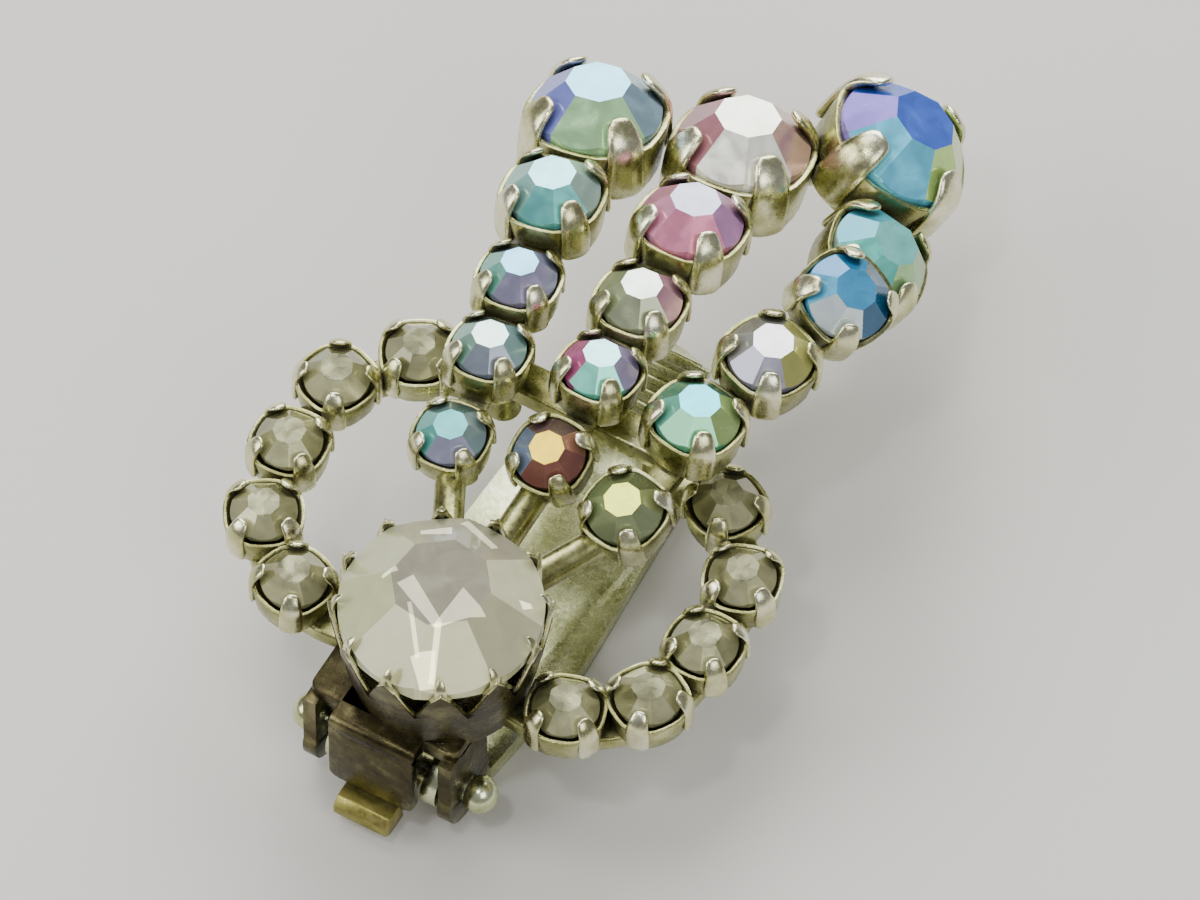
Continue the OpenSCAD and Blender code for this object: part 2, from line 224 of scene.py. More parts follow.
def stone_seat(node, towards):
    """A stone's seat and its diameter, in millimetres.

    The seat has z out of the table, and y as near to the wanted way as the facets allow.
    """
    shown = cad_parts[node]
    mesh, world = shown.data, shown.matrix_world
    flats = {}
    for face in mesh.polygons:
        key = tuple(round(c, 2) for c in face.normal)
        flats.setdefault(key, []).append(face)
    table = max(flats.values(), key=lambda faces: sum(f.area for f in faces))
    up = (world.to_3x3() @ table[0].normal).normalized()
    corners = {tuple(round(c / MM, 4) for c in world @ mesh.vertices[v].co) for f in table for v in f.vertices}
    corners = [Vector(c) for c in corners]
    middle = sum(corners, Vector()) / len(corners)
    reach = 0
    for v in mesh.vertices:
        out = world @ v.co / MM - middle
        reach = max(reach, (out - out.dot(up) * up).length)
    crown = MAIN_CROWN_SHARE if node == "main_stone" else CROWN_SHARE
    centre = middle - up * crown * 2 * reach
    flat_towards = (towards - towards.dot(up) * up).normalized()
    choices = []
    for k in range(FACETS):
        ahead = (corners[0] - middle).normalized()
        ahead.rotate(Matrix.Rotation(math.radians((k + 0.5) * FACET_TURN), 3, up))
        choices.append(ahead)
    ahead = max(choices, key=lambda way: way.dot(flat_towards))
    side = ahead.cross(up)
    place = Matrix((side, ahead, up)).transposed().to_4x4()
    place.translation = centre
    return place, 2 * reach


def stone_middle(node):
    low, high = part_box(node)
    return (Vector(low) + Vector(high)) / 2 / MM


STRANDS = {"left": 5, "middle": 5, "right": 6}
seats = {"main_stone": stone_seat("main_stone", Vector((0, 1, 0)))}
for strand, count in STRANDS.items():
    names = [f"{strand}_strand_stone_{i + 1}" for i in range(count)]
    for i, name in enumerate(names):
        before, after = names[max(i - 1, 0)], names[max(i, 1)]
        seats[name] = stone_seat(name, stone_middle(after) - stone_middle(before))
for side, centre in LOOP_CENTRES.items():
    for i in range(LOOP_STONES):
        name = f"{side}_loop_stone_{i + 1}"
        at = stone_middle(name)
        past = max(abs(at.y - centre.y) - LOOP_STRAIGHT / 2, 0) * (1 if at.y > centre.y else -1)
        outwards = Vector((at.x - centre.x, past, 0))
        along = Vector((-outwards.y, outwards.x, 0)) * (1 if side == "right" else -1)
        seats[name] = stone_seat(name, along)
for name, (place, d) in seats.items():
    print(f"{name}: {d:.2f} mm across at", [round(c, 2) for c in place.translation])

# %% [markdown]
# A chaton is a round glass stone with a flat table and eight crown facets, over a pointed back that carries
# foil. An eight-sided cone gives the facets, and cutting it with a round cylinder leaves the scalloped girdle
# that a real one has. A lathe profile would be quicker, but it would lose the flats that catch the light.

# %% Model one cut stone
BLANK_D = 10  # diameter of the stones on the bench, which are scaled when they are set


def cut_stone(crown, name):
    r = BLANK_D / 2
    clear_bench()
    bpy.ops.mesh.primitive_cone_add(
        vertices=FACETS,
        radius1=r / math.cos(math.pi / FACETS),
        radius2=r * TABLE_SHARE,
        depth=crown * BLANK_D,
        location=(0, 0, crown * BLANK_D / 2),
        rotation=(0, 0, math.radians(FACET_TURN / 2)),
    )
    bpy.ops.object.transform_apply(location=True, rotation=True, scale=True)
    # the cone's own first corner may lie on either axis, so the facets are turned until one faces +x
    flat = min(bpy.context.object.data.polygons, key=lambda f: (abs(f.normal.z) > 0.99, -f.normal.x))
    off = math.degrees(math.atan2(flat.normal.y, flat.normal.x))
    bpy.context.object.data.transform(Matrix.Rotation(-math.radians(off), 4, "Z"))
    pick("FACE", lambda c, n: n.z < -0.9)
    pull(z=-GIRDLE_SHARE * BLANK_D)
    pull(z=-(PAVILION_SHARE - GIRDLE_SHARE) * BLANK_D)
    bpy.ops.mesh.merge(type="CENTER")
    put_down()
    stone = bpy.context.object
    clear_bench()
    bpy.ops.mesh.primitive_cylinder_add(vertices=64, radius=r, depth=4 * r)
    tool = bpy.context.object
    take_up(stone)
    finish_with("BOOLEAN", operation="INTERSECT", object=tool, solver="EXACT")
    take_away(tool)
    finish_with("BEVEL", width=0.07, segments=2, limit_method="ANGLE", angle_limit=math.radians(14))
    bpy.ops.object.shade_flat()
    stone.name = name
    return stone


small_blank = cut_stone(CROWN_SHARE, "small_blank")
main_blank = cut_stone(MAIN_CROWN_SHARE, "main_blank")
print("faces of a cut stone:", len(small_blank.data.polygons))

# %% [markdown]
# The aurora coating gives each facet a colour of its own, which shifts from mint to blue, mauve and pink. The
# colours are written for the table and for the four quarters of the crown, and a facet takes its quarter's
# colour, a little lighter or darker than its neighbour as painted shade. The colours hold painted sheen and
# reflection as well as the coating's hue: most tables and near facets are painted light and far ones dark.
# They are stored on the mesh, so they stay on the facet.

# %% Facet colours
# colours of the table and of the crown's near, right, far and left side: the coating's hue with painted sheen and
# shade
AURORA_AND_SHEEN = {
    "left_strand_stone_1": ("6cd2d2", "a5a8c4", "8fa8a8", "6b8a84", "5fb0a8"),
    "left_strand_stone_2": ("dcfff0", "8f98a8", "8fb8b8", "7c9088", "7fa898"),
    "left_strand_stone_3": ("88d8f6", "9a96b4", "9aa0c0", "6f8088", "70b0a0"),
    "left_strand_stone_4": ("a4f2fa", "6cc4c0", "a8c8b8", "7aa0a0", "88b8b0"),
    "left_strand_stone_5": ("8ae2fa", "b0e0a8", "90b0c0", "3858a8", "8088d8"),
    "middle_strand_stone_1": ("ffd808", "8c5a50", "9a6e58", "6a5450", "7888a0"),
    "middle_strand_stone_2": ("aefaf4", "7ce4cc", "a89cc0", "8c6c90", "b8608c"),
    "middle_strand_stone_3": ("f2fff0", "a0a888", "c090a0", "808468", "98a47c"),
    "middle_strand_stone_4": ("b4bacc", "f094b4", "c890c2", "86688c", "e096b4"),
    "middle_strand_stone_5": ("fbffec", "fffff0", "c8a090", "987078", "b07880"),
    "right_strand_stone_1": ("f6ff5c", "8c9870", "8c9460", "707a50", "7c8a5c"),
    "right_strand_stone_2": ("4cdaea", "7cd0a0", "a4c078", "609878", "68b49c"),
    "right_strand_stone_3": ("ffffff", "a8a8b8", "c4c472", "84847c", "989890"),
    "right_strand_stone_4": ("4aa8dc", "eafaff", "1c5c84", "2c80b4", "60b4e0"),
    "right_strand_stone_5": ("84dcd4", "60c8bc", "a0cc94", "48a8bc", "98b0a4"),
    "right_strand_stone_6": ("4c70dc", "70dcff", "b4d880", "2058c0", "8c78d8"),
}
# the same for the large stone and for the loops' stones, whose near side is also painted lighter and far side
# darker
MILKY = ("8e8a76", "d0ce9e", "c0be9a", "9c9a82", "b2b58c")
DULL = ("a6a57e", "bcbb90", "98976c", "7c7b54", "8c8b60")
# the middles of the four sides, as azimuths
NEAR, RIGHT, FAR, LEFT = -60, 30, 120, 210
# even and odd facets differ a little in brightness, as painted shade
FACET_SHADES = (0.88, 1.12)
# a face whose normal is this near to the stone's axis is the table
TABLE_SLOPE = 0.97


def linear(code):
    """A colour in hexadecimal as the screen shows it, turned to the light values that shaders add up."""
    parts = [int(code[i : i + 2], 16) / 255 for i in (0, 2, 4)]
    return [p / 12.92 if p <= 0.04045 else ((p + 0.055) / 1.055) ** 2.4 for p in parts] + [1]


def quarter(azimuth):
    """Which of the four quarters of the crown an azimuth lies in, as a number from 1."""
    ways = [NEAR, RIGHT, FAR, LEFT]
    return 1 + min(range(4), key=lambda k: abs((azimuth - ways[k] + 180) % 360 - 180))


def paint_facets(stone, place, colours):
    """Stores each facet's colour, painted sheen and shade included, and a map that has the stone's axis in its
    middle.
    """
    mesh = stone.data
    tint = mesh.color_attributes.new("tint", "FLOAT_COLOR", "CORNER")
    chart = mesh.uv_layers.new(name="stone_chart")
    inverse = place.to_3x3().inverted()
    centre, r = place.translation, max((v.co / MM - place.translation).length for v in mesh.vertices)
    for face in mesh.polygons:
        own = (inverse @ face.normal).normalized()
        azimuth = math.degrees(math.atan2(face.normal.y, face.normal.x))
        facet = round(math.degrees(math.atan2(own.y, own.x)) / FACET_TURN)
        if own.z > TABLE_SLOPE:
            colour = linear(colours[0])
        else:
            shade = FACET_SHADES[facet % 2]
            colour = [c * shade for c in linear(colours[quarter(azimuth)])[:3]] + [1]
        for loop in face.loop_indices:
            tint.data[loop].color = colour
            local = inverse @ (mesh.vertices[mesh.loops[loop].vertex_index].co / MM - centre)
            chart.data[loop].uv = (0.5 + local.x / r / 2, 0.5 + local.y / r / 2)


print("stones with facet colours:", len(AURORA_AND_SHEEN))

# %% [markdown]
# Shaders are built from nodes. One small function adds a node, sets its values and links its inputs, so that a
# material reads from top to bottom. Sizes of patterns come from the real thing: object coordinates are in
# metres, so they are multiplied by a thousand first, and a noise scale of 2 then means about half a millimetre.


# %% Material helper
def new_material(name):
    material = bpy.data.materials.new(name)
    material.use_nodes = True
    tree = material.node_tree
    for old in list(tree.nodes):
        tree.nodes.remove(old)
    return material, tree


def add(tree, kind, links=None, values=None, **settings):
    """Adds a node. links maps its inputs to other nodes' outputs and values sets inputs directly."""
    node = tree.nodes.new(kind)
    for name, value in settings.items():
        setattr(node, name, value)
    for name, value in (values or {}).items():
        node.inputs[name].default_value = value
    for name, (other, output) in (links or {}).items():
        tree.links.new(other.outputs[output], node.inputs[name])
    return node


def ramp(tree, source, stops):
    """Turns a value into colours: stops are pairs of a place and a hexadecimal colour."""
    node = add(tree, "ShaderNodeValToRGB", {"Fac": source})
    while len(node.color_ramp.elements) < len(stops):
        node.color_ramp.elements.new(0.5)
    for element, (place, code) in zip(node.color_ramp.elements, stops):
        element.position = place
        element.color = linear(code)
    return node


def in_mm(tree):
    where = add(tree, "ShaderNodeTexCoord")
    return add(tree, "ShaderNodeMapping", {"Vector": (where, "Object")}, {"Scale": (1000, 1000, 1000)})


def sort_inputs(inputs):
    """Parts inputs into links, which are pairs of a node and its output's name, and plain values."""
    links = {k: v for k, v in inputs.items() if isinstance(v, tuple) and isinstance(v[0], bpy.types.Node)}
    return links, {k: v for k, v in inputs.items() if k not in links}


def sums(tree, kind, operation, terms):
    links, values = sort_inputs(dict(enumerate(terms)))
    return add(tree, kind, links, values, operation=operation)


def numbers(tree, operation, *terms):
    return sums(tree, "ShaderNodeMath", operation, terms)


def vectors(tree, operation, *terms):
    return sums(tree, "ShaderNodeVectorMath", operation, terms)


def finish_material(tree, **inputs):
    """The shader itself and the output."""
    links, values = sort_inputs({k.replace("_", " "): v for k, v in inputs.items()})
    shader = add(tree, "ShaderNodeBsdfPrincipled", links, values)
    add(tree, "ShaderNodeOutputMaterial", {"Surface": (shader, "BSDF")})


# %% [markdown]
# The setting was plated white, and years of wear have left it olive and brown. The colour is darkened between the
# cups, at the foot of each claw and inside the crown, as grime and painted shade, and the high points stay pale.
# Ambient occlusion finds those corners from the shape alone, and two noises break the colour up, a broad one for
# tarnish and a fine one for the pits in the plating.


# %% Aged metal
def noise(tree, scale, detail, roughness):
    vector = (in_mm(tree), "Vector")
    values = {"Scale": scale, "Detail": detail, "Roughness": roughness}
    return add(tree, "ShaderNodeTexNoise", {"Vector": vector}, values)


def spread(tree, source, low, high, to_low, to_high):
    """Stretches a value from one range to another."""
    values = {"From Min": low, "From Max": high, "To Min": to_low, "To Max": to_high}
    return add(tree, "ShaderNodeMapRange", {"Value": source}, values)


def aged_metal(name, pale, tarnish, deep, grime_and_shade, rough_low, rough_high, pit=0.02, grime_and_shade_reach=0.9):
    """pit is the depth of the pits, and the last argument how far grime and painted shade reach out of a corner,
    both in millimetres.
    """
    material, tree = new_material(name)
    broad = noise(tree, 0.55, 5, 0.6)
    fine = noise(tree, 4.5, 4, 0.65)
    base = ramp(tree, (broad, "Fac"), [(0.36, pale), (0.5, tarnish), (0.66, deep)])
    # ambient occlusion mixes the corners towards the dark grime colour and lowers the metallic there: grime and
    # painted shade
    corners = add(tree, "ShaderNodeAmbientOcclusion", values={"Distance": grime_and_shade_reach * MM}, samples=8)
    patchy = spread(tree, (fine, "Fac"), 0.3, 0.7, 0.8, 1.2)
    ao_shade_and_grime = numbers(tree, "MULTIPLY", (corners, "AO"), (patchy, "Result"))
    clean_and_lit = spread(tree, (ao_shade_and_grime, "Value"), 0.18, 0.62, 0, 1)
    mixed = {0: (clean_and_lit, "Result"), 7: (base, "Color")}
    colour = add(tree, "ShaderNodeMix", mixed, {6: linear(grime_and_shade)}, data_type="RGBA")
    rough = spread(tree, (fine, "Fac"), 0.35, 0.65, rough_low, rough_high)
    metal = spread(tree, (clean_and_lit, "Result"), 0, 1, 0.25, 1)
    bump = add(tree, "ShaderNodeBump", {"Height": (fine, "Fac")}, {"Strength": 0.55, "Distance": pit * MM})
    finish_material(
        tree,
        Base_Color=(colour, 2),
        Metallic=(metal, "Result"),
        Roughness=(rough, "Result"),
        Normal=(bump, "Normal"),
    )
    return material


aged_plate = aged_metal("aged_plate", "c4c494", "a3a26c", "7c7a4c", "2c2a12", 0.22, 0.4)
claw_plate = aged_metal("claw_plate", "eeecd0", "d6d4a8", "b3b17e", "4c482a", 0.18, 0.32, grime_and_shade_reach=0.4)
crown_plate = aged_metal("crown_plate", "787250", "4e4830", "363022", "17130c", 0.24, 0.4)
clip_metal = aged_metal("clip_metal", "e4e8c4", "d0d4a8", "b2b684", "5c5a3a", 0.2, 0.32, pit=0.005, grime_and_shade_reach=0.3)
leaf_brass = aged_metal("leaf_brass", "b9ad6c", "98904f", "6e6838", "2e2a15", 0.3, 0.5, grime_and_shade_reach=0.5)
print("metals:", [m.name for m in (aged_plate, claw_plate, crown_plate, clip_metal, leaf_brass)])

# %% [markdown]
# Through the table of a foiled stone the pointed back shows as a star of light and dark wedges. Real refraction
# would show it too, but it takes many samples and is lost when the model leaves Blender. So the star is painted
# on the stone's own chart, a painted reflection. The angle round the axis is cut into wedges, and each takes a
# fixed shade. Inside a zig-zag line the wedges are lighter. The large stone also gets a few painted glints and
# reflections, which are drawn as bars that widen or narrow along their length.


# %% Foiled glass
TABLE_EDGE = TABLE_SHARE / 2
PAINTED_GLINT_GAIN = 1.9  # how much brighter a painted glint is, as a share of the facet's tint
# bars painted on the large stone as painted reflections and highlights: the bright V in its table and the glints
# near its rim
# start, end, width at the start and at the end: in radii of the stone, with y towards the picture's top
PAINTED_GLINTS = [
    ((-0.34, 0.04), (-0.03, -0.47), 0.18, 0.1),
    ((0.32, -0.2), (-0.06, -0.49), 0.36, 0.03),
    ((-0.02, -0.44), (-0.09, -0.92), 0.06, 0.06),
    ((-0.3, -0.22), (-0.22, -0.72), 0.04, 0.04),
    ((-0.17, -0.68), (-0.13, -0.96), 0.24, 0.14),
    ((-0.2, 0.7), (0.1, 0.7), 0.08, 0.16),
    ((0.22, 0.88), (0.51, 0.52), 0.1, 0.08),
    ((0.76, -0.11), (0.86, -0.07), 0.1, 0.05),
    ((-0.56, 0.1), (-0.42, 0.16), 0.03, 0.06),
]


def on_chart(place, x, y):
    """A point of the large stone, given as the picture shows it, on the stone's own chart."""
    across = Vector((math.cos(math.radians(VIEW_AZIMUTH)), math.sin(math.radians(VIEW_AZIMUTH)), 0))
    local = place.to_3x3().inverted() @ (across * x + Vector((-across.y, across.x, 0)) * y)
    return Vector((0.5 + local.x / 2, 0.5 + local.y / 2, 0))


def painted_glint(tree, chart, start, end, wide_start, wide_end):
    """1 inside a bar on the chart and 0 outside it."""
    way = end - start
    from_start = vectors(tree, "SUBTRACT", (chart, "UV"), start)
    along = vectors(tree, "DOT_PRODUCT", (from_start, "Vector"), way / way.length_squared)
    side = vectors(tree, "DOT_PRODUCT", (from_start, "Vector"), Vector((-way.y, way.x, 0)).normalized())
    off = numbers(tree, "ABSOLUTE", (side, "Value"))
    # a radius of the stone is half a unit on the chart, and half a bar's width lies on each side of its line
    half = spread(tree, (along, "Value"), 0, 1, wide_start / 4, wide_end / 4)
    inside = numbers(tree, "LESS_THAN", (off, "Value"), (half, "Result"))
    middle = numbers(tree, "COMPARE", (along, "Value"), 0.5, 0.5)
    return numbers(tree, "MULTIPLY", (inside, "Value"), (middle, "Value"))


def foiled_glass(name, star, heart, metallic, roughness, coat, clouds, painted_glints=()):
    """A foiled stone's glass, whose colour is the facets' tint times a pattern: a painted reflection of the back.

    star is how much the painted wedges differ, heart how much lighter the painted middle is, and clouds how much
    the glass is smeared. The last argument holds bars on the chart, painted glints and reflections, each with its
    two ends and its two widths.
    """
    material, tree = new_material(name)
    chart = add(tree, "ShaderNodeUVMap", uv_map="stone_chart")
    split = add(tree, "ShaderNodeSeparateXYZ", {0: (chart, "UV")})
    x = numbers(tree, "SUBTRACT", (split, "X"), 0.5)
    y = numbers(tree, "SUBTRACT", (split, "Y"), 0.5)
    angle = numbers(tree, "ARCTAN2", (y, "Value"), (x, "Value"))
    cut = numbers(tree, "MULTIPLY", (angle, "Value"), FACETS / 2 / math.pi)
    wedge = numbers(tree, "FLOOR", (cut, "Value"))
    in_wedge = numbers(tree, "PINGPONG", (cut, "Value"), 2)
    across = vectors(tree, "DISTANCE", (chart, "UV"), (0.5, 0.5, 0))
    line = spread(tree, (in_wedge, "Value"), 0, 2, 0.25 * TABLE_EDGE, 0.9 * TABLE_EDGE)
    inner = numbers(tree, "LESS_THAN", (across, "Value"), (line, "Result"))
    both = add(tree, "ShaderNodeCombineXYZ", {0: (wedge, "Value"), 1: (inner, "Value")})
    shade = add(tree, "ShaderNodeTexWhiteNoise", {"Vector": (both, "Vector")}, noise_dimensions="2D")
    light = spread(tree, (shade, "Value"), 0, 1, 1 - star, 1 + star / 2)
    lift = numbers(tree, "MULTIPLY_ADD", (inner, "Value"), heart, 1)
    pattern = numbers(tree, "MULTIPLY", (light, "Result"), (lift, "Value"))
    through = numbers(tree, "LESS_THAN", (across, "Value"), TABLE_EDGE)
    seen = add(tree, "ShaderNodeMix", {0: (through, "Value"), 3: (pattern, "Value")}, {2: 1}, data_type="FLOAT")
    smear = noise(tree, 0.9, 4, 0.5)
    smear.inputs["Distortion"].default_value = 0.6
    cloud = spread(tree, (smear, "Fac"), 0.3, 0.7, 1 - clouds, 1 + clouds / 2)
    total = numbers(tree, "MULTIPLY", (seen, 0), (cloud, "Result"))
    # each bar adds a painted glint to the stone's colour
    for bar in painted_glints:
        total = numbers(tree, "MULTIPLY_ADD", (painted_glint(tree, chart, *bar), "Value"), PAINTED_GLINT_GAIN, (total, "Value"))
    tint = add(tree, "ShaderNodeVertexColor", layer_name="tint")
    colour = vectors(tree, "MULTIPLY", (tint, "Color"), (total, "Value"))
    rough = spread(tree, (smear, "Fac"), 0.4, 0.7, roughness, roughness * 2.2)
    finish_material(
        tree,
        Base_Color=(colour, "Vector"),
        Metallic=metallic,
        Roughness=(rough, "Result"),
        IOR=1.52,
        Coat_Weight=coat,
        Coat_Roughness=0.04,
    )
    return material


aurora_glass = foiled_glass(
    "aurora_glass", star=0.12, heart=0.05, metallic=0.4, roughness=0.14, coat=0.3, clouds=0.18
)
main_place = seats["main_stone"][0]
main_painted_glints = [(on_chart(main_place, *start), on_chart(main_place, *end), w, v) for start, end, w, v in PAINTED_GLINTS]
clear_glass = foiled_glass(
    "clear_glass", star=0.1, heart=0.04, metallic=0.05, roughness=0.1, coat=0.5, clouds=0.1, painted_glints=main_painted_glints
)
dull_glass = foiled_glass("dull_glass", star=0.5, heart=0.3, metallic=0.3, roughness=0.14, coat=0.5, clouds=0.4)
print("glass:", aurora_glass.name, clear_glass.name, dull_glass.name)

# %% [markdown]
# The stones are copies of the one blank, each scaled to its own measured diameter and set on its seat. Each
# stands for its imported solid, so that solid is hidden and the new stone rides on the same body.


# %% Set the stones
def paint(piece, material):
    piece.data.materials.clear()
    piece.data.materials.append(material)
    return piece


def dress(piece, material, body, slot, *nodes):
    """Gives a piece its finish, unless it has its own, and its body, and hides the nodes that it stands for."""
    if material:
        paint(piece, material)
    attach(piece, body)
    if nodes:
        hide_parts(*nodes)
    return piece


for node, (place, d) in seats.items():
    blank, glass, slot, colours = small_blank, dull_glass, "dull_glass", DULL
    if node == "main_stone":
        blank, glass, slot, colours = main_blank, clear_glass, "clear_glass", MILKY
    elif node in AURORA_AND_SHEEN:
        glass, slot, colours = aurora_glass, "aurora_glass", AURORA_AND_SHEEN[node]
    stone = bench_copy(blank, "cut_" + node, place @ Matrix.Scale(d / BLANK_D, 4))
    paint_facets(stone, place, colours)
    dress(stone, glass, "setting", slot, node)
take_away(small_blank)
take_away(main_blank)
print("stones set:", len(seats))

# %% [markdown]
# Each small stone sits in a boxy cup with rounded corners, and a claw stands at each corner and bends in over
# the crown. The cup is a box with its upright edges bevelled and its top inset and sunk. The claw starts as
# a flat square that is pulled up in short stretches, each turned a little further in and made a little narrower.

# %% Model a claw
CUP_D = 3.6  # the stone that the one cup is modelled for
LOOP_CUP_WIDER = 1.04
STONE_GAP, CUP_WALL, CUP_FLOOR = 0.04, 0.2, 0.35


def cup_depth(d):
    return PAVILION_SHARE * d + CUP_FLOOR


def cup_half(d):
    return d / 2 + STONE_GAP + CUP_WALL


def claw(foot, stretches, width, thick, name):
    """A claw that stands at +x. Each stretch gives its length, how far it leans in, and how much it narrows."""
    clear_bench()
    bpy.ops.mesh.primitive_plane_add(size=1, location=foot)
    bpy.ops.object.transform_apply(location=True, rotation=False, scale=False)
    bpy.ops.object.mode_set(mode="EDIT")
    bpy.ops.mesh.select_all(action="SELECT")
    bpy.ops.transform.resize(value=(thick, width, 1), center_override=foot)
    at, lean = Vector(foot), 0
    for length, lean_to, narrow in stretches:
        half_way = math.radians((lean + lean_to) / 2)
        step = Vector((-math.sin(half_way), 0, math.cos(half_way))) * length
        pull(*step)
        at += step
        turn(lean - lean_to, "Y", at)
        bpy.ops.transform.resize(value=(narrow,) * 3, center_override=at)
        lean = lean_to
    close_up()
    finish_with("SUBSURF", levels=2, render_levels=2)
    bpy.ops.object.shade_smooth()
    bpy.context.object.name = name
    return bpy.context.object


small_claw = claw(
    foot=(CUP_D / 2 + 0.26, 0, -cup_depth(CUP_D) + 0.1),
    stretches=[(0.5, 0, 1), (0.85, 0, 0.98), (0.35, 10, 0.94), (0.34, 32, 0.9), (0.38, 48, 0.84), (0.34, 54, 0.7)],
    width=1.35,
    thick=0.46,
    name="small_claw",
)
print("claw top, mm above the girdle:", round(max(v.co.z for v in small_claw.data.vertices), 2))
print("claw reaches in to, mm:", round(min(v.co.x for v in small_claw.data.vertices), 2))


# %% Model a cup and put claws on it
CUP_TOP_SHARE = -0.03  # height of the rim above the girdle, as a share of the stone's diameter
CUP_ROUND_SHARE, CUP_FOOT_SHARE = 0.86, 0.9  # the corners' roundness and the foot's width, to the cup's width
CUP_SINK_SHARE, CUP_SINK_NARROW = 0.55, 0.7  # the hollow's depth and how much it narrows
CLAW_CORNERS = (45, 135, 225, 315)


def box_cup():
    half, depth, top = cup_half(CUP_D), cup_depth(CUP_D), CUP_TOP_SHARE * CUP_D
    block((-half, -half, -depth), (half, half, top))
    pick("EDGE", lambda c, w: abs(w.z) > 0.9)
    bpy.ops.mesh.bevel(offset=CUP_ROUND_SHARE * half, segments=6, affect="EDGES")
    put_down()
    pick("FACE", lambda c, n: n.z < -0.9)
    bpy.ops.transform.resize(value=(CUP_FOOT_SHARE, CUP_FOOT_SHARE, 1))
    put_down()
    pick("FACE", lambda c, n: n.z > 0.9)
    bpy.ops.mesh.inset(thickness=CUP_WALL)
    pull(z=-CUP_SINK_SHARE * depth, grow=(CUP_SINK_NARROW, CUP_SINK_NARROW, 1))
    put_down()
    cup = paint(round_over(bpy.context.object, 0.05), aged_plate)
    paint(small_claw, claw_plate)
    return join([cup] + round_copies(small_claw, CLAW_CORNERS), "cup_blank")


cup_blank = box_cup()
take_away(small_claw)
for node, (place, d) in seats.items():
    if node == "main_stone":
        continue
    wide, deep = cup_half(d) / cup_half(CUP_D), cup_depth(d) / cup_depth(CUP_D)
    if "loop" in node:
        wide *= LOOP_CUP_WIDER
    size = Matrix.Diagonal((wide, wide, deep, 1))
    cup = bench_copy(cup_blank, node.replace("stone", "cup"), place @ size)
    dress(cup, None, "setting", "aged_plate", "setting_frame")
print("cups set:", len(seats) - 1, "of", len(cup_blank.data.polygons), "faces each")
take_away(cup_blank)

# %% [markdown]
# The large stone stands in a tall tapered sleeve whose edge is cut into a zig-zag, and a small claw bends in
# from each point. The sleeve is an open cylinder: its upper ring is widened, and every few points round the
# edge are pulled down to leave the peaks. Solidify gives the sheet its thickness, as it has in the real one.

# %% Model the crown setting
CROWN_POINTS = 12
PER_POINT = 6  # corners of the cylinder from one peak to the next
CROWN_LOW_Z, CROWN_HIGH_Z, NOTCH_Z = 6.0, 11.25, 8.8
CROWN_LOW_R, CROWN_HIGH_R, CROWN_WALL = 3.75, 4.69, 0.26
CROWN_FOOT_H = 0.4  # height of the sleeve's straight foot
MAIN_R = 4.25
# how far each of the points round the edge is pulled down, from one peak to the next
EDGE_DROPS = (0, 0.6, 1.55, CROWN_HIGH_Z - NOTCH_Z, 1.55, 0.6)


def crown_sleeve():
    height, widening = CROWN_HIGH_Z - CROWN_LOW_Z, CROWN_HIGH_R - CROWN_LOW_R
    clear_bench()
    bpy.ops.mesh.primitive_cylinder_add(
        vertices=CROWN_POINTS * PER_POINT,
        radius=CROWN_LOW_R,
        depth=CROWN_FOOT_H,
        end_fill_type="NOTHING",
        location=(0, 0, CROWN_LOW_Z + CROWN_FOOT_H / 2),
    )
    bpy.ops.object.transform_apply(location=True, rotation=False, scale=False)
    edge, before = CROWN_FOOT_H, CROWN_LOW_R
    for rise in (1.6, 3.0, height):
        pick("EDGE", lambda c, w: c.z > CROWN_LOW_Z + edge - 0.01 and abs(w.z) < 0.1)
        after = CROWN_LOW_R + widening * rise / height
        pull(z=rise - edge, grow=(after / before, after / before, 1))
        put_down()
        edge, before = rise, after
    step = 360 / CROWN_POINTS / PER_POINT
    for point, drop in enumerate(EDGE_DROPS):
        if not drop:
            continue
        bpy.ops.object.mode_set(mode="EDIT")
        bpy.ops.mesh.select_mode(type="VERT")
        bpy.ops.mesh.select_all(action="DESELECT")
        put_down()
        for v in bpy.context.object.data.vertices:
            column = round(math.degrees(math.atan2(v.co.y, v.co.x)) / step) % PER_POINT
            v.select = v.co.z > CROWN_HIGH_Z - 0.01 and column == point
        bpy.ops.object.mode_set(mode="EDIT")
        slope = 1 - drop * widening / height / CROWN_HIGH_R
        bpy.ops.transform.translate(value=(0, 0, -drop))
        bpy.ops.transform.resize(value=(slope, slope, 1), center_override=(0, 0, 0))
        put_down()
    pick("EDGE", lambda c, w: c.z < CROWN_LOW_Z + 0.01)
    bpy.ops.mesh.edge_face_add()
    close_up()
    finish_with("SOLIDIFY", thickness=CROWN_WALL, offset=-1)
    return round_over(bpy.context.object, 0.05, angle=35)


crown = paint(crown_sleeve(), crown_plate)
# the up-facing faces along the sleeve's top take the pale claw metal, a painted highlight along the zig-zag edge
crown.data.materials.append(claw_plate)
for face in crown.data.polygons:
    face.material_index = int(face.normal.z > 0.3 and face.center.z > NOTCH_Z - 0.3)
crown_claw = claw(
    foot=(MAIN_R + 0.1, 0, 10.0),
    stretches=[(0.5, -8, 1), (0.5, -8, 0.96), (0.26, 20, 0.88), (0.26, 46, 0.78), (0.34, 52, 0.4)],
    width=0.62,
    thick=0.2,
    name="crown_claw",
)
paint(crown_claw, claw_plate)
claw_turns = [360 * i / CROWN_POINTS for i in range(CROWN_POINTS)]
crown = join([crown] + round_copies(crown_claw, claw_turns), "crown_blank")
take_away(crown_claw)
crown_setting = set_once(crown, "crown_setting", Matrix.Translation(SETTING_AXIS))
dress(crown_setting, None, "setting", "aged_plate", "setting_frame")
print("crown setting faces:", len(crown_setting.data.polygons))

